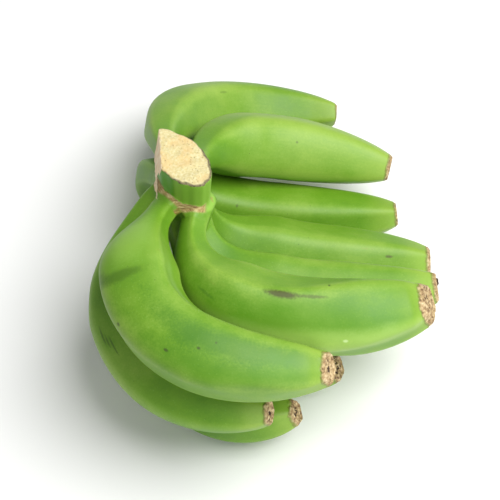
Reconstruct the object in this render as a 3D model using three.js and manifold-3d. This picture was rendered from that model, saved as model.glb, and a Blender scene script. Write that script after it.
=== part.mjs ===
// A hand of green bananas, cut from its stalk and lying on a table with the cut face of its crown up.
// Ten fingers leave the crown on short pedicels and lie side by side, with their blossom ends to the right.
// Millimetres, +Z up. The origin is on the table, under the middle of the hand.
import * as THREE from 'three';
import { mergeVertices } from 'three/addons/utils/BufferGeometryUtils.js';
import Module from 'manifold-3d';

const wasm = await Module();
wasm.setup();

// A finger's radius on its pedicel and at its belly, and the share of its length where the pedicel ends.
const NECK_RADIUS = 7.2;
const BODY_RADIUS = 19.6;
const NECK_END = 0.1;
const BELLY_SWELL = 0.03;
const TAPER_POWER = 1.6;

// Every finger has five soft ridges. The height is a share of its radius.
const RIDGES = 5;
const RIDGE_HEIGHT = 0.045;

// How far along its finger each pedicel passes from the crown's solid to the finger's, and the gap there.
const PEDICEL_LENGTH = 24;
const GAP = 0.36;

const SIDES = 15;
const FINGER_STEPS = 20;
const PEDICEL_STEPS = 4;

// Each finger: its girth as a share of BODY_RADIUS, the shares of its length where full girth starts and
// ends, the radius of its blossom end, how far its ridges are turned in degrees, and its centreline. That is
// a cubic Bezier curve: from inside the crown, by two handles, to the blossom end.
const FINGERS = [
  {
    name: 'finger_01_rear', girth: 1.0, shoulder: 0.55, taper: 0.62, tip: 6.5, turn: 0,
    path: [[-46, 24, 94], [-72, 70, 80], [-56, 146, -2], [44, 124, 18]],
  },
  {
    name: 'finger_02_rear_top', girth: 0.97, shoulder: 0.46, taper: 0.62, tip: 7.5, turn: 0,
    path: [[-38, 24, 93], [-37, 58, 70], [-24, 95, 39], [74, 67, 38]],
  },
  {
    name: 'finger_03_middle', girth: 0.97, shoulder: 0.44, taper: 0.66, tip: 6.5, turn: 0,
    path: [[-50, 15, 89], [-80, 74, 56], [-66, 41, 1], [78, 44, 23]],
  },
  {
    name: 'finger_04_middle', girth: 0.98, shoulder: 0.44, taper: 0.64, tip: 7, turn: 0,
    path: [[-38, 7, 90], [-30, 7, 52], [-2, 3, 29], [94, 0, 39]],
  },
  {
    name: 'finger_05_middle', girth: 0.96, shoulder: 0.44, taper: 0.62, tip: 7.5, turn: 20,
    path: [[-38, 2, 92], [-34, -22, 68], [-6, -46, 53], [95, -31, 59]],
  },
  {
    name: 'finger_06_front', girth: 1.02, shoulder: 0.42, taper: 0.76, tip: 9.8, turn: 22,
    path: [[-34, 3, 90], [-56, -50, 92], [-10, -86, 82], [87, -60, 87]],
  },
  {
    name: 'finger_07_front_top', girth: 1.01, shoulder: 0.34, taper: 0.64, tip: 8, turn: 10,
    path: [[-47, 8, 92], [-87, -50, 104], [-68, -115, 96], [33, -106, 96]],
  },
  {
    name: 'finger_08_front', girth: 0.97, shoulder: 0.45, taper: 0.64, tip: 6.5, turn: 0,
    path: [[-52, 12, 92], [-92, -5, 66], [-95, -99, 44], [3, -108, 54]],
  },
  {
    name: 'finger_09_front_under', girth: 0.93, shoulder: 0.52, taper: 0.64, tip: 6.5, turn: 0,
    path: [[-50, 12, 90], [-80, 10, 24], [-56, -101, 3], [18, -90, 25]],
  },
  {
    name: 'finger_10_inner', girth: 0.86, shoulder: 0.58, taper: 0.62, tip: 6.5, turn: 0,
    path: [[-49, 3, 88], [-44, -5, 42], [-15, -47, -12], [41, -65, 30]],
  },
];

// The crown: a rounded heart round the roots of the pedicels, and the oval stub that stands on it.
const HEART_CENTRE = [-45, 11, 92];
const HEART_HALF = [15, 17, 16];
const HEART_SIDES = 24;
const STUB_CENTRE = [-45, 12, 106];
const STUB_HALF = [22.6, 12.8];
const STUB_HEIGHT = 40;
const STUB_TURN = -0.93;
const STUB_FOOT = 0.85;
const STUB_SIDES = 30;

// The papery scar of the bract that once covered the hand: a low, slightly tilted band round the stub.
const BAND_CENTRE = [-45, 12, 98];
const BAND_HALF = [21.6, 12.8];
const BAND_HEIGHT = 3.6;
const BAND_TILT = -0.24;

// The two cuts of the knife that took the hand off its stalk: level on top, and steeper on the left.
const CUTS = [
  { point: [-44, 12, 120], normal: [0, 0, 1] },
  { point: [-56, 17, 120], normal: [-0.95, -0.06, 0.3] },
];
const KNIFE_REACH = 400;

// The middle of the hand's footprint, in the frame of the numbers above.
const MIDDLE = [0.3, 11.5, 0];

const PEEL = new THREE.MeshStandardMaterial({ color: 0x7cb342, roughness: 0.5, metalness: 0 });
const CROWN_SKIN = new THREE.MeshStandardMaterial({ color: 0x8fbf4a, roughness: 0.6, metalness: 0 });

const smooth = (x) => x * x * (3 - 2 * x);
const clamp01 = (x) => Math.min(1, Math.max(0, x));
const vector = (numbers) => new THREE.Vector3(...numbers);

// A finger's radius at the share u of its length: pedicel, shoulder, belly, and the taper to its end.
function radiusAt(u, { girth, shoulder, taper, tip }) {
  const body = BODY_RADIUS * girth * (1 + BELLY_SWELL * Math.sin(Math.PI * u));
  const swell = smooth(clamp01((u - NECK_END) / (shoulder - NECK_END)));
  const drop = clamp01((u - taper) / (1 - taper));
  const end = Math.sqrt(1 - (1 - (tip / body) ** 2) * drop ** TAPER_POWER);
  return (NECK_RADIUS + (body - NECK_RADIUS) * swell) * end;
}

// The five-sided section, as a factor on the radius.
const ridgeAt = (angle) => 1 + RIDGE_HEIGHT * Math.cos(RIDGES * angle);

const curveOf = (finger) => new THREE.CubicBezierCurve3(...finger.path.map(vector));

// The direction square to the curve's start and to the way it bends.
function bendNormal(curve) {
  const chord = curve.getPointAt(1).sub(curve.getPointAt(0));
  return chord.cross(curve.getTangentAt(0)).negate().normalize();
}

// A frame at each step along the curve, turned as little as can be from one step to the next.
function framesAlong(curve, from, to, steps) {
  const frames = [];
  let side = bendNormal(curve);
  for (let i = 0; i <= steps; i++) {
    const u = THREE.MathUtils.lerp(from, to, i / steps);
    const tangent = curve.getTangentAt(u);
    side = side.clone().addScaledVector(tangent, -side.dot(tangent)).normalize();
    frames.push({ u, at: curve.getPointAt(u), side, up: side.clone().cross(tangent) });
  }
  return frames;
}

// One of the plain shapes with only its points kept, so that it is closed where its faces meet.
function bare(shape) {
  shape.deleteAttribute('normal');
  shape.deleteAttribute('uv');
  return mergeVertices(shape, 1e-4);
}

function solidOf(geometry) {
  return new wasm.Manifold(new wasm.Mesh({
    numProp: 3,
    vertProperties: geometry.attributes.position.array,
    triVerts: new Uint32Array(geometry.index.array),
  }));
}

// A closed tube along a finger's centreline between two shares of its length: a drum bent to the curve.
function tubeAlong(finger, from, to, steps) {
  const frames = framesAlong(curveOf(finger), from, to, steps);
  const tube = bare(new THREE.CylinderGeometry(1, 1, 1, SIDES, steps));
  const points = tube.attributes.position;
  for (let i = 0; i < points.count; i++) {
    const frame = frames[Math.round((points.getY(i) + 0.5) * steps)];
    const angle = Math.atan2(points.getX(i), points.getZ(i));
    const share = Math.hypot(points.getX(i), points.getZ(i));
    const radius = share * radiusAt(frame.u, finger) * ridgeAt(angle);
    const turned = angle + THREE.MathUtils.degToRad(finger.turn);
    const place = frame.at.clone()
      .addScaledVector(frame.side, radius * Math.sin(turned))
      .addScaledVector(frame.up, radius * Math.cos(turned));
    points.setXYZ(i, place.x, place.y, place.z);
  }
  return solidOf(tube);
}

// Everything beyond a plane that passes through `point` and faces along `normal`.
function beyond(point, normal) {
  const along = normal.clone().normalize();
  const turn = new THREE.Quaternion().setFromUnitVectors(new THREE.Vector3(0, 0, 1), along);
  const centre = along.multiplyScalar(KNIFE_REACH / 2).add(point);
  const size = new THREE.Vector3().setScalar(KNIFE_REACH);
  const place = new THREE.Matrix4().compose(centre, turn, size);
  return solidOf(bare(new THREE.BoxGeometry(1, 1, 1)).applyMatrix4(place));
}

// An upright oval drum, turned as the stub is and leant by `tilt`. `foot` is how wide its lower end is.
function ovalDrum(centre, half, height, foot, tilt) {
  const lean = new THREE.Quaternion().setFromAxisAngle(new THREE.Vector3(1, 0, 0), Math.PI / 2 + tilt);
  const turn = new THREE.Quaternion().setFromAxisAngle(new THREE.Vector3(0, 0, 1), STUB_TURN);
  const size = new THREE.Vector3(half[0], height, half[1]);
  const place = new THREE.Matrix4().compose(vector(centre), turn.multiply(lean), size);
  return solidOf(bare(new THREE.CylinderGeometry(1, foot, 1, STUB_SIDES, 1)).applyMatrix4(place));
}

function meshOf(name, solid, material) {
  const { vertProperties, triVerts } = solid.getMesh();
  const geometry = new THREE.BufferGeometry();
  geometry.setAttribute('position', new THREE.BufferAttribute(vertProperties, 3));
  geometry.setIndex(new THREE.BufferAttribute(triVerts, 1));
  geometry.translate(...vector(MIDDLE).negate());
  const mesh = new THREE.Mesh(geometry, material);
  mesh.name = name;
  return mesh;
}

// A whole finger, pressed flat where it touches the table.
function fingerMesh(finger) {
  const from = (PEDICEL_LENGTH + GAP) / curveOf(finger).getLength();
  const underTable = beyond(new THREE.Vector3(), new THREE.Vector3(0, 0, -1));
  return meshOf(finger.name, tubeAlong(finger, from, 1, FINGER_STEPS).subtract(underTable), PEEL);
}

function crownMesh() {
  const place = new THREE.Matrix4().makeTranslation(vector(HEART_CENTRE)).scale(vector(HEART_HALF));
  const heart = bare(new THREE.SphereGeometry(1, HEART_SIDES, HEART_SIDES / 2)).applyMatrix4(place);
  let solid = solidOf(heart)
    .add(ovalDrum(STUB_CENTRE, STUB_HALF, STUB_HEIGHT, STUB_FOOT, 0))
    .add(ovalDrum(BAND_CENTRE, BAND_HALF, BAND_HEIGHT, 1, BAND_TILT));
  for (const finger of FINGERS) {
    const to = PEDICEL_LENGTH / curveOf(finger).getLength();
    solid = solid.add(tubeAlong(finger, 0, to, PEDICEL_STEPS));
  }
  for (const { point, normal } of CUTS) {
    solid = solid.subtract(beyond(vector(point), vector(normal)));
  }
  return meshOf('crown', solid, CROWN_SKIN);
}

const hand = new THREE.Group();
hand.name = 'hand_of_green_bananas';
hand.add(crownMesh(), ...FINGERS.map(fingerMesh));

export default hand;
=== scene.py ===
"""A hand of green bananas, cut from its stalk, on a table with the cut face of its crown up.

Each finger is one fine mesh in place of its CAD node, on the same centreline and with the same girths. The
crown is one blended surface: a field that joins the stub, the heart and the ten pedicels, with its two cuts.
Lengths are millimetres until a mesh is made, and places are counted from the CAD frame's origin plus MIDDLE.
"""
import math

import bpy
import numpy as np
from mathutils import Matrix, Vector


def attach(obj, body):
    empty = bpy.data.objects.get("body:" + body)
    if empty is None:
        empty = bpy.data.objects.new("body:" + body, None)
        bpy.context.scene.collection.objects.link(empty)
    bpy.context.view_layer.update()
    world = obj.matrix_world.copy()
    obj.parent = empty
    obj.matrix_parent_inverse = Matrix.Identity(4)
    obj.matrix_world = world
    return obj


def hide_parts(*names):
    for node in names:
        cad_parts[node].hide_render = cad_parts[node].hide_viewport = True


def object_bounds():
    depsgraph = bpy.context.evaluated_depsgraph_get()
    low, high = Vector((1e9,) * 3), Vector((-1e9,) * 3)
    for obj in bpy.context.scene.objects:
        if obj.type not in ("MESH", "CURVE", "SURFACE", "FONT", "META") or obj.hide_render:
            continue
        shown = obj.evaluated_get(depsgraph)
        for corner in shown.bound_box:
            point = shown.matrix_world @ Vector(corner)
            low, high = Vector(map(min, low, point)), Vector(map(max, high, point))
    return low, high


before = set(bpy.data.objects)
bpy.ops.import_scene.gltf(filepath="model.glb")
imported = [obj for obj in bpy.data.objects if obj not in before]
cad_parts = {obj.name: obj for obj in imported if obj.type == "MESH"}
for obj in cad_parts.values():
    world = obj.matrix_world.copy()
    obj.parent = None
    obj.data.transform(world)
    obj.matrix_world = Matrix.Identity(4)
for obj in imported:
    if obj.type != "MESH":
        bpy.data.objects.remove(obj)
cad_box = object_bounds()

MM = 0.001
MIDDLE = np.array([0.3, 11.5, 0.0])

# The measures that the fingers share, as in the CAD part.
NECK_RADIUS = 7.2
BODY_RADIUS = 19.6
NECK_END = 0.1
BELLY_SWELL = 0.03
TAPER_POWER = 1.6
SIDES = 5

# Each finger: its CAD node, girth, shoulder, taper, tip radius, path and turn, as in the CAD part. `spread`
# moves its five ridges apart and `twist` turns them towards the tip, in degrees. `crisp` is how sharp they
# are, and `tone` how light the peel is. `scar` is how far the brown of the dry end reaches back, in mm, and
# `facing` how far that end turns to OUTLOOK, as a sine. `bead` is a dark bead on it: its turn and its size.
FINGERS = (
    dict(node="finger_01_rear", girth=1.0, shoulder=0.55, taper=0.62, tip=6.5, turn=0,
         spread=(4, 0, 0, -5, 3), tone=0.55, scar=-1.0, facing=-0.12,
         path=((-46, 24, 94), (-72, 70, 80), (-56, 146, -2), (44, 124, 18))),
    dict(node="finger_02_rear_top", girth=0.97, shoulder=0.46, taper=0.62, tip=7.5, turn=0,
         spread=(40, 26, 10, 4, 8), tone=0.8, scar=0.4, facing=0.1,
         path=((-38, 24, 93), (-37, 58, 70), (-24, 95, 39), (74, 67, 38))),
    dict(node="finger_03_middle", girth=0.97, shoulder=0.44, taper=0.66, tip=6.5, turn=0,
         spread=(6, 0, -5, 3, 0), tone=0.45, scar=0.2, facing=0.03,
         path=((-50, 15, 89), (-80, 74, 56), (-66, 41, 1), (78, 44, 23))),
    dict(node="finger_04_middle", girth=0.98, shoulder=0.44, taper=0.64, tip=7.0, turn=0,
         spread=(4, 5, 0, -4, 3), tone=0.55, scar=1.2, facing=0.15,
         path=((-38, 7, 90), (-30, 7, 52), (-2, 3, 29), (94, 0, 39))),
    dict(node="finger_05_middle", girth=0.96, shoulder=0.44, taper=0.62, tip=7.5, turn=20,
         spread=(0, 4, -3, 0, 5), tone=0.62, scar=2.2, facing=0.1, bead=(0.45, 3.0),
         path=((-38, 2, 92), (-34, -22, 68), (-6, -46, 53), (95, -31, 59))),
    dict(node="finger_06_front", girth=1.02, shoulder=0.42, taper=0.76, tip=9.8, turn=22,
         spread=(0, 0, 22, 12, 4), tone=0.55, scar=4.2, facing=0.33, twist=-36, crisp=9.0,
         path=((-34, 3, 90), (-56, -50, 92), (-10, -86, 82), (87, -60, 87))),
    dict(node="finger_07_front_top", girth=1.01, shoulder=0.34, taper=0.64, tip=8.0, turn=10,
         spread=(-6, -19, 12, 8, 0), tone=0.5, scar=2.2, facing=0.36, crisp=9.0,
         path=((-47, 8, 92), (-87, -50, 104), (-68, -115, 96), (33, -106, 96))),
    dict(node="finger_08_front", girth=0.97, shoulder=0.45, taper=0.64, tip=6.5, turn=0,
         spread=(0, -8, 0, 6, 0), tone=0.42, scar=1.5, facing=0.3,
         path=((-52, 12, 92), (-92, -5, 66), (-95, -99, 44), (3, -108, 54))),
    dict(node="finger_09_front_under", girth=0.93, shoulder=0.52, taper=0.64, tip=6.5, turn=0,
         spread=(3, 0, 5, 0, -4), tone=0.35, scar=1.8, facing=0.36,
         path=((-50, 12, 90), (-80, 10, 24), (-56, -101, 3), (18, -90, 25))),
    dict(node="finger_10_inner", girth=0.86, shoulder=0.58, taper=0.62, tip=6.5, turn=0,
         spread=(0, 5, 0, -6, 2), tone=0.4, scar=2.6, facing=0.45,
         path=((-49, 3, 88), (-44, -5, 42), (-15, -47, -12), (41, -65, 30))),
)

# Marks on the peel, some of them painted sheen and painted shade: the finger, the place along it in mm and
# round it in degrees, half the length and half the width in mm, the colour, and the strength.
MARKS = (
    ("01", 120, 300, 4.0, 0.8, "5c7a26", 0.5),
    ("02", 100, 330, 1.0, 0.8, "4a5a20", 0.6),
    ("03", 110, 10, 0.9, 0.9, "4a5a20", 0.6),
    ("04", 134, 24, 2.2, 1.1, "4d4a1c", 0.7),
    ("06", 110, 118, 60.0, 13.0, "478408", 0.5),
    # A pale band along the lower facet of finger 06: painted sheen.
    ("06", 122, 162, 62.0, 8.0, "a6c862", 0.5),
    ("06", 98, 90, 10.0, 1.9, "3f3a10", 0.85),
    ("06", 114, 89, 9.0, 0.9, "4a5218", 0.6),
    ("06", 123, 70, 0.9, 0.9, "36401a", 0.8),
    ("06", 130, 156, 1.3, 0.8, "c9e2a2", 0.6),
    ("06", 62, 130, 5.0, 1.2, "47761c", 0.5),
    # Two darker green bands over the lower front of finger 07: painted shade.
    ("07", 142, 147, 55.0, 9.0, "33700a", 0.35),
    ("07", 145, 101, 55.0, 8.0, "2f6c08", 0.5),
    # A grey-green band along the top facet of finger 07: painted sheen. A lighter patch on its shoulder:
    # painted light.
    ("07", 130, 40, 62.0, 6.0, "a6c876", 0.45),
    ("07", 48, 110, 22.0, 14.0, "98c450", 0.5),
    ("07", 174, 123, 22.0, 12.0, "4f8a14", 0.4),
    ("07", 72, 128, 3.0, 15.0, "3f6408", 0.6),
    ("07", 69, 165, 3.0, 6.0, "4b6f14", 0.5),
    ("07", 126, 117, 1.0, 0.9, "3c4a1c", 0.8),
    ("07", 113, 141, 1.2, 0.8, "3c4a1c", 0.8),
    ("07", 90, 162, 1.0, 1.0, "40501c", 0.75),
    ("07", 124, 36, 1.3, 0.9, "8a4526", 0.7),
    ("07", 133, 100, 0.7, 0.7, "40501c", 0.6),
    ("08", 90, 123, 5.0, 0.7, "3c5a16", 0.7),
    ("08", 98, 112, 6.0, 0.6, "3c5a16", 0.7),
    ("08", 94, 118, 4.0, 0.6, "3c5a16", 0.6),
    ("09", 90, 200, 6.0, 1.0, "5a6424", 0.6),
)

# The crown's measures. The heart is as in the CAD part. The stub, its scar and its left cut differ a little.
HEART_CENTRE = (-45, 11, 92)
HEART_HALF = (15, 17, 16)
STUB_CENTRE = (-45.6, 12.7, 106)
STUB_HALF = (23.8, 13.2)
STUB_HEIGHT = 40
STUB_TURN = -0.93
STUB_FOOT = 0.85
STUB_NARROW = 0.22
BAND_CENTRE = (-45, 12, 98)
BAND_SLOPE = -0.18
BAND_TOP = 3.4
BAND_LOW = -3.2
BAND_RIGHT = -30.5
CUT_TOP = 120.0
FACET_POINT = (-56.5, 17, 120)
FACET_NORMAL = (-0.986, -0.071, 0.153)
FACET_LOW = 93.0
FACET_STOP = 8.0

# Small dry tears at the roots of the pedicels: each one's middle and radius.
TEARS = ((-47.3, -9.6, 96.5, 4.4), (-58.0, 4.0, 98.0, 2.6), (-30.0, 2.0, 95.0, 2.2))

# The fine meshes. A finger has rings along it, of which the last few stand closer together, points round it,
# and rings over its dry end, each with its share of the end's radius. The crown has a grid. A centreline is
# kept as samples.
RINGS = 210
TIP_RINGS = 10
TIP_LENGTH = 4.0
TIP_STEP = 0.4
AROUND = 96
END_RINGS = 22
END_SHARES = np.linspace(0.97, 0.03, END_RINGS)
GRID = 0.6
SAMPLES = 400

# Where a finger's random draws start. Its own number is added.
SECTION_SEED = 100
PIT_SEED = 300
FINE_SEED = 310
COARSE_SEED = 330
CRUST_SEED = 350

# The section's sharpness where a finger gives none, and how much sharper it gets to the neck and to the tip.
CRISP = 6.2
NECK_CRISP = 1.8
TIP_CRISP = 1.0
HALF_SIDE = math.pi / SIDES

# The width of the strip inside the CAD model's box in which a finger's points are drawn in, in mm.
EDGE = 2.5

# Where a finger's mesh starts inside the crown, and where the crown's sleeve round it sinks into the finger.
ROOT = 8.0
SLEEVE_FULL = 12.0
SLEEVE_END = 27.0
SLEEVE_PROUD = 0.15
SLEEVE_SINK = 1.6

# How softly the crown's parts join, how far round a root its sleeve is looked for, and how far the grid
# reaches past the roots and past the stub.
BLEND = 0.8
SLEEVE_MARGIN = 14
ROOT_MARGIN = 11
GRID_MARGIN = 2

# Which way the dry ends turn, and over what length of the finger.
OUTLOOK = (0, -0.574, 0.819)
LEAN_LENGTH = 14.0


def unit(vectors):
    return vectors / np.linalg.norm(vectors, axis=-1, keepdims=True)


def smooth(x, low=0.0, high=1.0):
    t = np.clip((x - low) / (high - low), 0, 1)
    return t * t * (3 - 2 * t)


def ripple(points, wavelength, seed, waves=9):
    """Smooth random relief between about -1 and 1, the same at each run: a sum of waves."""
    draw = np.random.default_rng(seed)
    headings = unit(draw.normal(size=(waves, 3)))
    total = np.zeros(points.shape[:-1])
    for heading in headings:
        pitch = wavelength * draw.uniform(0.7, 1.4)
        total += np.sin(points @ heading * (2 * math.pi / pitch) + draw.uniform(0, 2 * math.pi))
    return total / math.sqrt(waves)


class Finger:
    """A finger's centreline, measured by its length, with its frames and its section."""

    def __init__(self, row, number):
        self.row = row
        self.number = number
        start, near, far, end = (np.array(place, float) for place in row["path"])
        t = np.linspace(0, 1, SAMPLES + 1)[:, None]
        s = 1 - t
        self.points = s ** 3 * start + 3 * s * s * t * near + 3 * s * t * t * far + t ** 3 * end
        slopes = 3 * s * s * (near - start) + 6 * s * t * (far - near) + 3 * t * t * (end - far)
        self.tangents = unit(slopes)
        steps = np.linalg.norm(np.diff(self.points, axis=0), axis=1)
        self.reach = np.concatenate([[0], np.cumsum(steps)])
        self.length = self.reach[-1]
        sides = []
        side = np.cross(self.tangents[0], self.points[-1] - self.points[0])
        for tangent in self.tangents:
            side = side - tangent * (side @ tangent)
            side /= np.linalg.norm(side)
            sides.append(side)
        self.sides = np.array(sides)
        self.ups = np.cross(self.sides, self.tangents)
        draw = np.random.default_rng(SECTION_SEED + number)
        self.faces = draw.uniform(0.97, 1.035, SIDES)
        ridges = row["turn"] + 360 / SIDES * np.arange(SIDES) + np.array(row["spread"])
        self.ridges = np.append(ridges, ridges[0] + 360)
        self.phases = draw.uniform(0, 2 * math.pi, 6)

    def along(self, values, distance):
        """Values kept for each sample of the centreline, read at distances from its start."""
        return np.stack([np.interp(distance, self.reach, values[:, i]) for i in range(3)], axis=-1)

    def radius(self, distance):
        """The mean radius: pedicel, shoulder, belly, and the taper to the blossom end."""
        row = self.row
        u = distance / self.length
        body = BODY_RADIUS * row["girth"] * (1 + BELLY_SWELL * np.sin(math.pi * u))
        swell = smooth(u, NECK_END, row["shoulder"])
        drop = np.clip((u - row["taper"]) / (1 - row["taper"]), 0, 1)
        end = np.sqrt(1 - (1 - (row["tip"] / body) ** 2) * drop ** TAPER_POWER)
        return (NECK_RADIUS + (body - NECK_RADIUS) * swell) * end

    def section(self, distance, angle):
        """The five-sided section as a factor on the radius, and how near each point is to a ridge."""
        u = distance / self.length
        sharp = self.row.get("crisp", CRISP)
        sharp = sharp + NECK_CRISP * smooth(u, 0.35, 0.1) + TIP_CRISP * smooth(u, 0.8, 1.0)
        twist = self.row.get("twist", 0) * smooth(u, 0.4, 1.0)
        turned = np.mod(np.degrees(angle) - self.ridges[0] - twist, 360)
        even = np.interp(turned, self.ridges - self.ridges[0], np.linspace(0, 360, SIDES + 1))
        turned = np.radians(even)
        total = 0
        for k, face in enumerate(self.faces):
            lean = np.cos(turned - HALF_SIDE * (1 + 2 * k))
            total = total + (np.clip(lean, 0, 1) / face) ** sharp
        corner = (2 * math.cos(HALF_SIDE) ** sharp) ** (-1 / sharp)
        factor = 2 * total ** (-1 / sharp) / (1 + corner)
        phase = self.phases
        wobble = 0.010 * np.sin(9 * u + phase[0]) + 0.008 * np.sin(turned + 7 * u + phase[1])
        wobble = wobble + 0.006 * np.sin(2 * turned - 13 * u + phase[2])
        ridge = smooth(np.cos(SIDES * turned), 0.1, 1.0)
        return factor * (1 + wobble * smooth(u, 0.12, 0.3)), ridge


# Meshes.

def piece(name, points, faces, values, material):
    """A smooth mesh with named values on its points, riding on the root body."""
    mesh = bpy.data.meshes.new(name)
    mesh.from_pydata(((points - MIDDLE) * MM).tolist(), [], faces)
    for key, value in values.items():
        store = mesh.attributes.new(key, "FLOAT", "POINT")
        store.data.foreach_set("value", np.asarray(value, np.float32).ravel())
    mesh.polygons.foreach_set("use_smooth", [True] * len(mesh.polygons))
    mesh.materials.append(material)
    mesh.update()
    made = bpy.data.objects.new(name, mesh)
    bpy.context.scene.collection.objects.link(made)
    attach(made, "root")
    return made


def ring_faces(rings, around):
    """Faces between rings of points, and a fan to one last point at each end."""
    faces = []
    for i in range(rings - 1):
        for j in range(around):
            k = (j + 1) % around
            faces.append((i * around + j, i * around + k, (i + 1) * around + k, (i + 1) * around + j))
    first, last = rings * around, rings * around + 1
    top = (rings - 1) * around
    for j in range(around):
        k = (j + 1) % around
        faces.append((first, k, j))
        faces.append((last, top + j, top + k))
    return faces


def end_relief(finger, share, angle, tip):
    """How deep the dry end lies under the finger's end plane, and how much of each point is a pit."""
    draw = np.random.default_rng(PIT_SEED + finger.number)
    x = share * tip * np.cos(angle)
    y = share * tip * np.sin(angle)
    # A sunken ring inside the edge, then scattered pits, a hole in the middle, and on one finger a bead.
    depth = 0.9 * smooth(share, 1.0, 0.8) - 0.5 * smooth(share, 0.85, 0.55)
    pits = np.zeros_like(x)
    for _ in range(int(tip * 1.3)):
        reach = tip * draw.uniform(0.2, 0.85)
        turn = draw.uniform(0, 2 * math.pi)
        size = draw.uniform(0.5, 1.1)
        away = np.hypot(x - reach * math.cos(turn), y - reach * math.sin(turn)) / size
        pits = np.maximum(pits, smooth(away, 1.5, 0.5))
    centre = smooth(np.hypot(x, y), 1.8, 0.8)
    bead = np.zeros_like(x)
    if "bead" in finger.row:
        turn, size = finger.row["bead"]
        away = np.hypot(x - 0.5 * tip * math.cos(turn), y - 0.5 * tip * math.sin(turn))
        bead = smooth(away, size, 0.2 * size)
    flat = np.stack([x, y, np.zeros_like(x)], axis=-1)
    fine = ripple(flat, 1.7, FINE_SEED + finger.number)
    coarse = ripple(flat, 4.0, COARSE_SEED + finger.number)
    rough = 0.22 * fine + 0.2 * coarse
    depth = depth + 0.9 * pits + 0.7 * centre + rough * smooth(share, 0.98, 0.85) - 2.2 * bead
    return depth, np.maximum(np.maximum(pits, centre), smooth(bead, 0.05, 0.3))


def within_box(points):
    """Points drawn in softly where they would pass the CAD model's box."""
    low, high = (np.array(corner) / MM + MIDDLE for corner in cad_box)
    for side in (0, 1):
        over = points[:, side] - (high[side] - EDGE)
        points[:, side] -= np.where(over > 0, over - EDGE * np.tanh(over / EDGE), 0)
        under = (low[side] + EDGE) - points[:, side]
        points[:, side] += np.where(under > 0, under - EDGE * np.tanh(under / EDGE), 0)
    points[:, 2] = np.maximum(points[:, 2], 0)
    return points


def finger_tube(finger, angle):
    """Rings of points along a finger, how far along it each one is, and how near it is to a ridge."""
    row = finger.row
    length = finger.length
    body = np.linspace(ROOT, length - TIP_LENGTH, RINGS - TIP_RINGS)
    tip = np.linspace(length - (TIP_LENGTH - TIP_STEP), length, TIP_RINGS)
    distance, angle = np.meshgrid(np.concatenate([body, tip]), angle, indexing="ij")
    factor, ridge = finger.section(distance, angle)
    # The edge of the dry end is rounded off a little.
    rounding = 1 - 0.07 * smooth(distance, length - 1.6, length) ** 2
    radius = finger.radius(distance) * factor * rounding
    centre = finger.along(finger.points, distance)
    side = finger.along(finger.sides, distance)
    up = finger.along(finger.ups, distance)
    out = side * np.sin(angle)[..., None] + up * np.cos(angle)[..., None]
    crust = smooth(length - distance, row["scar"] + 2.0, 0.5 * row["scar"])
    crumbs = ripple(centre + radius[..., None] * out, 2.2, CRUST_SEED + finger.number)
    radius = radius + 0.3 * crust * crumbs
    tube = centre + radius[..., None] * out
    # The end plane leans, so that the dry end turns to OUTLOOK.
    along = finger.tangents[-1]
    outlook = unit(np.array(OUTLOOK))
    square = unit(outlook - along * (outlook @ along))
    lean = math.tan(math.asin(row["facing"]) - math.asin(outlook @ along))
    share = smooth(distance, length - LEAN_LENGTH, length)
    tube = tube - ((tube - centre) @ square * lean * share)[..., None] * along
    return tube, distance, ridge


def finger_end(finger, angle, rim):
    """The dry end: its rim drawn in over the end plane, the middle point, and what is a pit."""
    share, angle = np.meshgrid(END_SHARES, angle, indexing="ij")
    depth, pit = end_relief(finger, share, angle, finger.row["tip"])
    end, along = finger.points[-1], finger.tangents[-1]
    disc = end + share[..., None] * (rim - end) - depth[..., None] * along
    middle = end[None] - depth[-1].mean() * along
    return disc, middle, pit


def finger_piece(finger, material):
    """A finger's mesh, with values for its looks: the place along it, from its tip and on its skin."""
    row = finger.row
    length = finger.length
    angle = np.linspace(0, 2 * math.pi, AROUND, endpoint=False)
    tube, distance, ridge = finger_tube(finger, angle)
    disc, middle, pit = finger_end(finger, angle, tube[-1])
    start = finger.along(finger.points, np.array([ROOT]))
    points = np.concatenate([tube.reshape(-1, 3), disc.reshape(-1, 3), start, middle])
    points = within_box(points)
    wide = np.concatenate([np.ones(RINGS), END_SHARES])[:, None]
    over = np.repeat((END_SHARES - 1) * row["tip"], AROUND)
    values = {
        "along": np.concatenate([distance.ravel(), np.full(over.size, length), [ROOT, length]]),
        "tip": np.concatenate([(length - distance).ravel(), over, [length, -row["tip"]]]),
        "ridge": np.concatenate([ridge.ravel(), np.zeros(over.size + 2)]),
        "pit": np.concatenate([np.zeros(distance.size), pit.ravel(), [0, 1]]),
        "skin_x": np.append(BODY_RADIUS * wide * np.cos(angle), [0, 0]),
        "skin_y": np.append(BODY_RADIUS * wide * np.sin(angle), [0, 0]),
    }
    made = piece("peel_" + row["node"], points, ring_faces(RINGS + END_RINGS, AROUND), values, material)
    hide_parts(row["node"])


# The crown's field: below zero inside, and about the distance in millimetres near its surface.

def stub_field(points):
    """The oval stub with its ribs, which is narrower towards the left and widens upwards."""
    off = points - np.array(STUB_CENTRE)
    cosine, sine = math.cos(STUB_TURN), math.sin(STUB_TURN)
    foot = STUB_CENTRE[2] - STUB_HEIGHT / 2
    width = STUB_FOOT + (1 - STUB_FOOT) * (points[..., 2] - foot) / STUB_HEIGHT
    x = (cosine * off[..., 0] + sine * off[..., 1]) / (STUB_HALF[0] * width)
    narrow = 1 + STUB_NARROW * np.clip(x, -1, 0)
    y = (cosine * off[..., 1] - sine * off[..., 0]) / (STUB_HALF[1] * width * narrow)
    ribs = 0.35 * np.sin(9 * np.arctan2(y, x) + 0.6) + 0.25 * np.sin(17 * np.arctan2(y, x))
    level = np.hypot(x, y)
    slope = np.hypot(x / (STUB_HALF[0] * width), y / (STUB_HALF[1] * width))
    wall = level * (level - 1) / np.maximum(slope, 1e-6) + 0.5 * ribs
    return np.maximum(wall, foot - points[..., 2])


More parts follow.
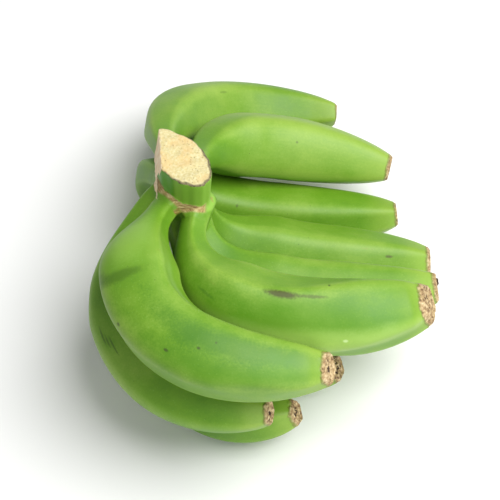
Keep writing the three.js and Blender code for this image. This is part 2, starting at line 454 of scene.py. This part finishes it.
def heart_field(points):
    """The rounded body under the stub, from which the pedicels leave."""
    shares = (points - np.array(HEART_CENTRE)) / np.array(HEART_HALF)
    level = np.linalg.norm(shares, axis=-1)
    slope = np.linalg.norm(shares / np.array(HEART_HALF), axis=-1)
    return level * (level - 1) / np.maximum(slope, 1e-6)


def band_height(points):
    """Height over the plane of the bract's scar, which tilts a little."""
    return (points - np.array(BAND_CENTRE)) @ unit(np.array((-BAND_SLOPE, 0, 1)))


def band_field(points, stub):
    """How far the papery scar of the bract stands off the stub."""
    rag = 0.6 * ripple(points * [1, 1, 0.2], 9.0, 21) + 0.35 * ripple(points * [1, 1, 0.2], 3.0, 22)
    height = band_height(points)
    rise = smooth(height, BAND_TOP + rag, BAND_TOP - 1.5)
    rise = rise * smooth(height, BAND_LOW + rag, BAND_LOW + 0.7 + rag)
    thick = 0.4 + 0.9 * smooth(height, BAND_TOP, BAND_LOW + 1) + 0.12 * np.sin(height * 5 + 2 * rag)
    # A shallow groove runs along its lower edge.
    under = smooth(height, BAND_LOW - 2.5, BAND_LOW - 0.3)
    under = under * smooth(height, BAND_LOW + 0.6, BAND_LOW - 0.2)
    right = smooth(points[..., 0] + 0.6 * rag, BAND_RIGHT, BAND_RIGHT - 2.5)
    return (thick * rise - 0.5 * under) * smooth(np.abs(stub), 6.0, 3.5) * right


def pedicel_field(finger, points):
    """The sleeve round a finger's root, the place of each point along it, and how near it is to a ridge."""
    distance = np.clip((points - finger.points[0]) @ finger.tangents[0], 0, SLEEVE_END)
    for _ in range(4):
        off = points - finger.along(finger.points, distance)
        lean = np.sum(off * finger.along(finger.tangents, distance), axis=-1)
        distance = np.clip(distance + lean, 0, SLEEVE_END)
    off = points - finger.along(finger.points, distance)
    x = np.sum(off * finger.along(finger.sides, distance), axis=-1)
    y = np.sum(off * finger.along(finger.ups, distance), axis=-1)
    factor, ridge = finger.section(distance, np.arctan2(x, y))
    sink = SLEEVE_PROUD - (SLEEVE_PROUD + SLEEVE_SINK) * smooth(distance, SLEEVE_FULL, SLEEVE_END)
    return np.linalg.norm(off, axis=-1) - finger.radius(distance) * factor - sink, distance, ridge


def blend_share(field):
    """A field's share in the soft joining of fields. The limits keep its size in range."""
    return np.exp(-np.clip(field, -12, 60) / BLEND)


def crown_field(points, fingers):
    """The crown before it is cut, with what each point needs for its looks."""
    stub = stub_field(points)
    total = blend_share(stub) + blend_share(heart_field(points))
    nearest = stub.copy()
    along = np.zeros(points.shape[0])
    ridge = np.zeros(points.shape[0])
    for finger in fingers:
        root = finger.points[finger.reach < SLEEVE_END]
        low = root.min(axis=0) - SLEEVE_MARGIN
        high = root.max(axis=0) + SLEEVE_MARGIN
        near = np.all((points > low) & (points < high), axis=-1)
        field, distance, peak = pedicel_field(finger, points[near])
        total[near] += blend_share(field)
        closer = field < nearest[near]
        chosen = np.flatnonzero(near)[closer]
        nearest[chosen] = field[closer]
        along[chosen] = distance[closer]
        ridge[chosen] = peak[closer]
    return -BLEND * np.log(total) - band_field(points, stub), stub, along, ridge


def top_cut(points, stub):
    """Height over the level cut. Its rim is chipped and a little lower than its middle."""
    rag = ripple(points, 5.0, 31)
    fibre = 0.09 * ripple(points * [1, 1, 0.1], 1.9, 32, 14) + 0.2 * ripple(points * [1, 1, 0.1], 6.0, 33)
    chip = (0.5 + 0.3 * rag) * smooth(stub, -1.8, 0.2)
    return points[..., 2] - (CUT_TOP - 0.65) + fibre + np.maximum(chip, 0)


def facet_cut(points):
    """Height over the steeper cut on the left, which follows the fibres."""
    normal = unit(np.array(FACET_NORMAL))
    fibre = 0.2 * ripple(points * [1, 1, 0.15], 3.0, 41)
    # The knife stopped above the pedicels.
    stop = FACET_STOP * smooth(points[..., 2], FACET_LOW + 3, FACET_LOW)
    return (points - np.array(FACET_POINT)) @ normal + 0.1 + fibre - stop


def surface_net(field, origin, step):
    """The surface where values on a grid pass through zero, as points and four-sided faces."""
    cells = tuple(n - 1 for n in field.shape)
    total = np.zeros(cells + (3,))
    count = np.zeros(cells)
    for axis in range(3):
        first, second = (axis + 1) % 3, (axis + 2) % 3
        for i in (0, 1):
            for j in (0, 1):
                cut = [None] * 3
                cut[axis] = slice(0, -1)
                cut[first] = slice(i, i - 1 or None)
                cut[second] = slice(j, j - 1 or None)
                low = field[tuple(cut)]
                cut[axis] = slice(1, None)
                high = field[tuple(cut)]
                crossed = (low < 0) != (high < 0)
                share = np.where(crossed, low / np.where(crossed, low - high, 1), 0)
                total[..., axis] += share
                total[..., first] += i * crossed
                total[..., second] += j * crossed
                count += crossed
    active = np.argwhere(count > 0)
    points = active + total[count > 0] / count[count > 0][:, None]
    index = np.full(cells, -1)
    index[count > 0] = np.arange(len(active))
    faces = []
    for axis in range(3):
        first, second = (axis + 1) % 3, (axis + 2) % 3
        low = np.take(field, range(field.shape[axis] - 1), axis)
        high = np.take(field, range(1, field.shape[axis]), axis)
        for inside, order in ((low < 0) & (high >= 0), 1), ((low >= 0) & (high < 0), -1):
            edges = np.argwhere(inside)
            inner = np.all([(edges[:, k] > 0) & (edges[:, k] < cells[k]) for k in (first, second)], axis=0)
            edges = edges[inner]
            loop = []
            for i, j in ((-1, -1), (0, -1), (0, 0), (-1, 0)):
                cell = edges.copy()
                cell[:, first] += i
                cell[:, second] += j
                loop.append(index[tuple(cell.T)])
            faces.append(np.stack(loop[::order], axis=-1))
    return points * step + origin, np.concatenate(faces)


def crown_piece(fingers, material):
    """The crown's mesh, with values for its looks: its cuts, its rim, its scar and its tears."""
    roots = np.concatenate([f.points[f.reach < SLEEVE_END] for f in fingers])
    stub_low = np.array(STUB_CENTRE) - max(STUB_HALF) - GRID_MARGIN
    stub_high = np.array(STUB_CENTRE) + max(STUB_HALF) + GRID_MARGIN
    low = np.minimum(roots.min(axis=0) - ROOT_MARGIN, stub_low)
    high = np.maximum(roots.max(axis=0) + ROOT_MARGIN, stub_high)
    high[2] = CUT_TOP + GRID_MARGIN
    axes = [np.arange(low[i], high[i], GRID) for i in range(3)]
    grid = np.stack(np.meshgrid(*axes, indexing="ij"), axis=-1)
    flat = grid.reshape(-1, 3)
    body, stub, _, _ = crown_field(flat, fingers)
    cut = np.maximum(body, np.maximum(top_cut(flat, stub), facet_cut(flat)))
    points, faces = surface_net(cut.reshape(grid.shape[:3]), low, GRID)
    body, stub, along, ridge = crown_field(points, fingers)
    top, facet = top_cut(points, stub), facet_cut(points)
    on_top = smooth(top, -0.5, -0.15)
    on_facet = smooth(facet, -0.5, -0.15) * smooth(points[:, 2], FACET_LOW + 1.8, FACET_LOW + 3)
    tear = np.zeros(len(points))
    for x, y, z, size in TEARS:
        away = np.linalg.norm(points - np.array((x, y, z)), axis=-1) + 0.5 * ripple(points, 2.5, 51)
        tear = np.maximum(tear, smooth(away, size, 0.4 * size))
    # `dark` grows from the left of the stub towards its right and front.
    values = {
        "along": along,
        "tear": tear,
        "ridge": ridge * smooth(along, 4, 12),
        "cut": np.maximum(on_top, on_facet),
        "facet": on_facet,
        "rim": -body,
        "band": band_height(points),
        "stub": smooth(stub, 3.8, 2.4),
        "dark": smooth((points - np.array(STUB_CENTRE)) @ np.array((0.85, -0.5, 0)), 2.0, 11.0),
        "bandside": smooth(points[:, 0], BAND_RIGHT - 0.5, BAND_RIGHT - 2.5),
    }
    made = piece("crown_skin_and_cut", points, faces.tolist(), values, material)
    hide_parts("crown")


# Materials.

# The crown's lightness, the shine of peel and crown, and the depths of their bumps in metres.
CROWN_TONE = 0.5
SPECULAR = 0.45
PEEL_BUMP = 0.0006
CROWN_BUMP = 0.0008


def linear(text):
    """A colour given as it looks on a screen, as the linear values that a shader takes."""
    shares = [int(text[i:i + 2], 16) / 255 for i in (0, 2, 4)]
    return [s / 12.92 if s <= 0.04045 else ((s + 0.055) / 1.055) ** 2.4 for s in shares] + [1.0]


class Shader:
    """One material's nodes. Most methods add a node and give back the socket that it feeds."""

    def __init__(self, name):
        self.material = bpy.data.materials.new(name)
        self.material.use_nodes = True
        self.nodes = self.material.node_tree.nodes
        self.links = self.material.node_tree.links
        self.nodes.clear()
        end = self.nodes.new("ShaderNodeOutputMaterial")
        self.surface = self.nodes.new("ShaderNodeBsdfPrincipled")
        self.links.new(self.surface.outputs[0], end.inputs[0])
        self.place = self.add("ShaderNodeTexCoord", "Object")

    def feed(self, socket, value):
        if isinstance(value, bpy.types.NodeSocket):
            self.links.new(value, socket)
        else:
            socket.default_value = value

    def add(self, kind, out=0, inputs=(), **settings):
        """A new node's output socket. Inputs are values or the sockets of other nodes."""
        node = self.nodes.new(kind)
        for key, value in settings.items():
            setattr(node, key, value)
        for key, value in dict(inputs).items():
            self.feed(node.inputs[key], value)
        return node.outputs[out]

    def value(self, name):
        return self.add("ShaderNodeAttribute", "Fac", attribute_name=name)

    def math(self, operation, a, b):
        return self.add("ShaderNodeMath", 0, {0: a, 1: b}, operation=operation)

    def total(self, *terms):
        """The sum of (weight, socket) pairs."""
        made = None
        for weight, socket in terms:
            part = self.math("MULTIPLY", socket, weight)
            made = part if made is None else self.math("ADD", made, part)
        return made

    def step(self, value, low, high, start=0.0, end=1.0):
        """A smooth step from start, where the value is low, to end, where it is high."""
        inputs = {0: value, 1: low, 2: high, 3: start, 4: end}
        return self.add("ShaderNodeMapRange", 0, inputs, interpolation_type="SMOOTHSTEP")

    def scaled(self, vector, by):
        return self.add("ShaderNodeVectorMath", 0, {0: vector, 1: by}, operation="MULTIPLY")

    def noise(self, scale, vector=None, detail=2.0, rough=0.5):
        inputs = {"Vector": vector or self.place, "Scale": scale, "Detail": detail, "Roughness": rough}
        return self.add("ShaderNodeTexNoise", 0, inputs)

    def cells(self, scale, vector=None):
        """How far each point is from the nearest of many scattered centres, in cell sizes."""
        inputs = {"Vector": vector or self.place, "Scale": scale}
        return self.add("ShaderNodeTexVoronoi", "Distance", inputs)

    def mix(self, factor, a, b):
        made = self.nodes.new("ShaderNodeMix")
        made.data_type = "RGBA"
        self.feed(made.inputs[0], factor)
        self.feed(made.inputs[6], a)
        self.feed(made.inputs[7], b)
        return made.outputs[2]

    def ramp(self, value, *stops):
        """Colours between stops, each one a place and a colour."""
        node = self.nodes.new("ShaderNodeValToRGB")
        self.links.new(value, node.inputs[0])
        while len(node.color_ramp.elements) < len(stops):
            node.color_ramp.elements.new(0.5)
        for element, (place, colour) in zip(node.color_ramp.elements, stops):
            element.position = place
            element.color = linear(colour)
        return node.outputs[0]

    def bump(self, height, distance):
        return self.add("ShaderNodeBump", 0, {"Height": height, "Distance": distance, "Strength": 1.0})


def peel_colour(shader, tone):
    """The peel's greens: broad patches, fine mottling, lighter ridges, and small dark specks."""
    broad = shader.noise(17.0, detail=2.0)
    patch = shader.noise(85.0, detail=4.0, rough=0.6)
    fine = shader.noise(900.0, detail=2.0)
    ridge = shader.value("ridge")
    along = shader.value("along")
    own = shader.step(along, 15.0, 70.0, -0.06, (tone - 0.5) * 0.5)
    amount = shader.total((0.55, broad), (0.3, patch), (0.15, fine), (0.1, ridge), (1.0, own))
    colour = shader.ramp(amount, (0.25, "4c820e"), (0.5, "6a981f"), (0.8, "91b345"))
    specks = shader.math("MULTIPLY", shader.step(shader.cells(160.0), 0.06, 0.025),
                         shader.step(shader.noise(40.0), 0.48, 0.58))
    colour = shader.mix(shader.math("MULTIPLY", specks, 0.75), colour, linear("39481a"))
    pores = shader.step(shader.cells(520.0), 0.22, 0.1)
    colour = shader.mix(shader.math("MULTIPLY", pores, 0.12), colour, linear("a6d272"))
    return colour, patch, fine


def finger_material(finger):
    """The peel with its streaks, rubs and marks, painted sheen and painted shade among them, and the brown
    of the dry end.
    """
    row = finger.row
    shader = Shader("green_peel_" + row["node"][7:9])
    colour, patch, fine = peel_colour(shader, row["tone"])
    tip, pit, along = shader.value("tip"), shader.value("pit"), shader.value("along")
    skin = shader.add("ShaderNodeCombineXYZ", 0,
                      {0: shader.value("skin_x"), 1: shader.value("skin_y"), 2: along})
    # Faint lengthwise streaks, which fade out towards the crown.
    streak = shader.noise(0.8, shader.scaled(skin, (1, 1, 0.05)), detail=3.0)
    streak_share = shader.step(along, 20.0, 60.0)
    deep = shader.math("MULTIPLY", streak_share, 0.14)
    deep = shader.math("MULTIPLY", shader.step(streak, 0.5, 0.72), deep)
    colour = shader.mix(deep, colour, linear("558f1e"))
    # Tan rubs along the ridges.
    rub = shader.noise(0.55, shader.scaled(skin, (1, 1, 0.16)), detail=4.0, rough=0.7)
    rub = shader.math("MULTIPLY", shader.step(rub, 0.66, 0.74), shader.value("ridge"))
    colour = shader.mix(shader.math("MULTIPLY", rub, 0.55), colour, linear("8d8a3c"))
    for number, reach, turn, length, width, tint, strength in MARKS:
        if number != row["node"][7:9]:
            continue
        turn = math.radians(turn)
        spot = (BODY_RADIUS * math.cos(turn), BODY_RADIUS * math.sin(turn), reach)
        away = shader.add("ShaderNodeVectorMath", 0, {0: skin, 1: spot}, operation="SUBTRACT")
        away = shader.scaled(away, (1 / width, 1 / width, 1 / length))
        away = shader.add("ShaderNodeVectorMath", "Value", {0: away}, operation="LENGTH")
        away = shader.total((1.0, away), (0.9, patch), (0.5, fine))
        mark = shader.math("MULTIPLY", shader.step(away, 2.0, 1.1), strength)
        colour = shader.mix(mark, colour, linear(tint))
    # The peel yellows towards the blossom end, whose edge is ragged.
    colour = shader.mix(shader.step(tip, 22.0, 3.0, 0.0, 0.35), colour, linear("9db648"))
    edge = shader.total((1.0, tip), (-4.0 - row["scar"], patch), (-1.2, fine))
    brown = shader.step(edge, -0.9, -2.3)
    dry_noise = shader.noise(420.0, detail=4.0, rough=0.65)
    dry = shader.ramp(dry_noise, (0.35, "664c32"), (0.5, "ab9064"), (0.66, "d6c298"))
    dry = shader.mix(shader.step(pit, 0.3, 0.85), dry, linear("35220f"))
    rim = shader.math("MULTIPLY", shader.step(edge, -0.3, -1.3), shader.math("SUBTRACT", 1.0, brown))
    colour = shader.mix(shader.math("MULTIPLY", rim, 0.75), colour, linear("6d6a2c"))
    colour = shader.mix(brown, colour, dry)
    surface = shader.surface
    shader.feed(surface.inputs["Base Color"], colour)
    rough = shader.total((0.2, patch), (0.25, brown))
    shader.feed(surface.inputs["Roughness"], shader.math("ADD", rough, 0.4))
    surface.inputs["Specular IOR Level"].default_value = SPECULAR
    dents = shader.noise(45.0, detail=1.0)
    height = shader.total((0.06, fine), (0.05, streak), (0.5, dents),
                          (0.9, shader.math("MULTIPLY", brown, dry_noise)))
    shader.feed(surface.inputs["Normal"], shader.bump(height, PEEL_BUMP))
    return shader.material


def crown_material():
    """The crown's skin, the papery scar of the bract, the dry tears and the cut."""
    shader = Shader("crown_skin_and_cut")
    colour, patch, fine = peel_colour(shader, CROWN_TONE)
    cut, facet, rim = shader.value("cut"), shader.value("facet"), shader.value("rim")
    band, stub = shader.value("band"), shader.value("stub")
    upright = shader.scaled(shader.place, (1, 1, 0.12))
    fibre = shader.noise(700.0, upright, detail=4.0, rough=0.6)
    # The skin of the stub is a fresher green just under the cut on the left. On its right and front it is
    # painted lighter: painted light that lifts that wall out of its shade.
    dark = shader.value("dark")
    fresh = shader.math("MULTIPLY", stub, shader.step(band, 1.0, 6.0))
    fresh = shader.math("MULTIPLY", fresh, shader.step(dark, 0.3, 0.0, 0.0, 0.7))
    stub_painted_light = shader.math("MULTIPLY", stub, shader.step(dark, 0.0, 0.5, 0.0, 0.45))
    colour = shader.mix(stub_painted_light, colour, linear("a4d05a"))
    colour = shader.mix(fresh, colour, linear("4f9a10"))
    # The bract's papery scar, with a pale lower edge.
    rag = shader.total((3.0, shader.noise(170.0, detail=3.0)), (1.4, fibre))
    height = shader.math("SUBTRACT", shader.math("ADD", band, rag), 2.2)
    papery = shader.math("MULTIPLY", shader.step(height, BAND_LOW - 0.4, BAND_LOW),
                         shader.step(height, BAND_TOP + 0.2, BAND_TOP - 0.4))
    beside = shader.math("MULTIPLY", stub, shader.value("bandside"))
    papery = shader.math("MULTIPLY", papery, beside)
    layers = shader.noise(260.0, shader.scaled(shader.place, (1, 1, 5)), detail=4.0, rough=0.65)
    bark = shader.ramp(layers, (0.3, "6e5430"), (0.5, "a98f5a"), (0.7, "d4c490"))
    colour = shader.mix(papery, colour, bark)
    lip = shader.math("MULTIPLY", shader.step(height, BAND_LOW - 0.6, BAND_LOW - 0.2),
                      shader.step(height, BAND_LOW + 0.9, BAND_LOW + 0.4))
    colour = shader.mix(shader.math("MULTIPLY", lip, beside), colour, linear("dccb98"))
    torn = shader.ramp(layers, (0.3, "4a3420"), (0.5, "9a7440"), (0.7, "c8a868"))
    colour = shader.mix(shader.math("MULTIPLY", shader.value("tear"), 0.85), colour, torn)
    # The cut: cream, fibrous, with dark pores and a stained patch.
    cream = shader.ramp(fibre, (0.3, "c6b67c"), (0.5, "d3c793"), (0.7, "dfd7ac"))
    stain = shader.math("MULTIPLY", shader.step(shader.noise(60.0, detail=3.0), 0.5, 0.64), 0.45)
    cream = shader.mix(stain, cream, linear("e0b878"))
    pores = shader.step(shader.cells(560.0, upright), 0.2, 0.08)
    pored = shader.step(dark, 0.0, 1.0, 0.15, 0.6)
    cream = shader.mix(shader.math("MULTIPLY", pores, pored), cream, linear("a08a52"))
    # The steeper cut is paler and pinker than the level one. This is partly its own tint and partly painted
    # light that lifts it out of its shade.
    side = shader.ramp(fibre, (0.3, "e8c9a0"), (0.5, "fbe2bc"), (0.7, "fff2d8"))
    flesh = shader.mix(facet, cream, side)
    # The edge of the level cut has dried dark.
    burnt = shader.total((1.0, rim), (-1.8, shader.noise(240.0, detail=3.0)), (-0.9, dark))
    burnt = shader.math("MULTIPLY", shader.step(burnt, 0.2, -1.0), shader.step(facet, 0.6, 0.2))
    char = shader.ramp(shader.noise(500.0, detail=3.0), (0.35, "464030"), (0.6, "857c58"))
    flesh = shader.mix(burnt, flesh, char)
    bare = shader.step(shader.total((1.0, cut), (0.3, fibre)), 0.55, 0.75)
    colour = shader.mix(bare, colour, flesh)
    surface = shader.surface
    shader.feed(surface.inputs["Base Color"], colour)
    dull = shader.math("MAXIMUM", bare, papery)
    rough = shader.total((0.2, patch), (0.32, dull))
    shader.feed(surface.inputs["Roughness"], shader.math("ADD", rough, 0.4))
    surface.inputs["Specular IOR Level"].default_value = SPECULAR
    height = shader.total((0.1, fine), (0.3, shader.math("MULTIPLY", bare, fibre)),
                          (0.9, shader.math("MULTIPLY", papery, layers)),
                          (-0.5, shader.math("MULTIPLY", bare, pores)))
    shader.feed(surface.inputs["Normal"], shader.bump(height, CROWN_BUMP))
    return shader.material


# The scene: floor, lights and camera, in metres.

# The floor lies a little under the fingers, so that its surface and theirs don't fight.
FLOOR_HALF = 3.0
FLOOR_HEIGHT = -0.0002
LIGHT_TARGET = (0, 0, 0.05)
WORLD_STRENGTH = 0.34
CAMERA_TARGET = (-0.0083, -0.0115, 0.05)
CAMERA_ELEVATION = 55.0
CAMERA_DISTANCE = 1.1
CAMERA_LENS = 141.0


def build_stage():
    mesh = bpy.data.meshes.new("floor")
    half = FLOOR_HALF
    corners = ((-half, -half), (half, -half), (half, half), (-half, half))
    mesh.from_pydata([(x, y, FLOOR_HEIGHT) for x, y in corners], [], [(0, 1, 2, 3)])
    shader = Shader("floor")
    tint = shader.ramp(shader.noise(6.0, detail=2.0), (0.3, "f4f4f3"), (0.7, "f8f8f7"))
    shader.feed(shader.surface.inputs["Base Color"], tint)
    shader.surface.inputs["Roughness"].default_value = 0.85
    mesh.materials.append(shader.material)
    floor = bpy.data.objects.new("floor", mesh)
    bpy.context.scene.collection.objects.link(floor)


def area_light(name, place, size, power):
    light = bpy.data.lights.new(name, "AREA")
    light.shape = "DISK"
    light.size = size
    light.energy = power
    made = bpy.data.objects.new(name, light)
    made.location = place
    made.rotation_euler = (Vector(LIGHT_TARGET) - Vector(place)).to_track_quat("-Z", "Y").to_euler()
    bpy.context.scene.collection.objects.link(made)


def build_camera():
    lens = bpy.data.cameras.new("camera")
    lens.lens = CAMERA_LENS
    lens.sensor_width = 36.0
    camera = bpy.data.objects.new("camera", lens)
    rise = math.radians(CAMERA_ELEVATION)
    away = Vector((0, -math.cos(rise), math.sin(rise))) * CAMERA_DISTANCE
    camera.location = Vector(CAMERA_TARGET) + away
    camera.rotation_euler = (math.radians(90 - CAMERA_ELEVATION), 0, 0)
    bpy.context.scene.collection.objects.link(camera)
    bpy.context.scene.camera = camera


def build_world():
    world = bpy.data.worlds.new("studio")
    world.use_nodes = True
    background = world.node_tree.nodes["Background"]
    background.inputs["Color"].default_value = (1, 1, 1, 1)
    background.inputs["Strength"].default_value = WORLD_STRENGTH
    bpy.context.scene.world = world


fingers = [Finger(row, number) for number, row in enumerate(FINGERS, 1)]
for finger in fingers:
    finger_piece(finger, finger_material(finger))
crown_piece(fingers, crown_material())

build_stage()
build_world()
area_light("key", (0.6, -0.15, 1.35), 1.3, 28)
area_light("front", (0.7, -1.2, 0.45), 0.7, 5)
build_camera()
bpy.context.scene.view_settings.view_transform = "Standard"
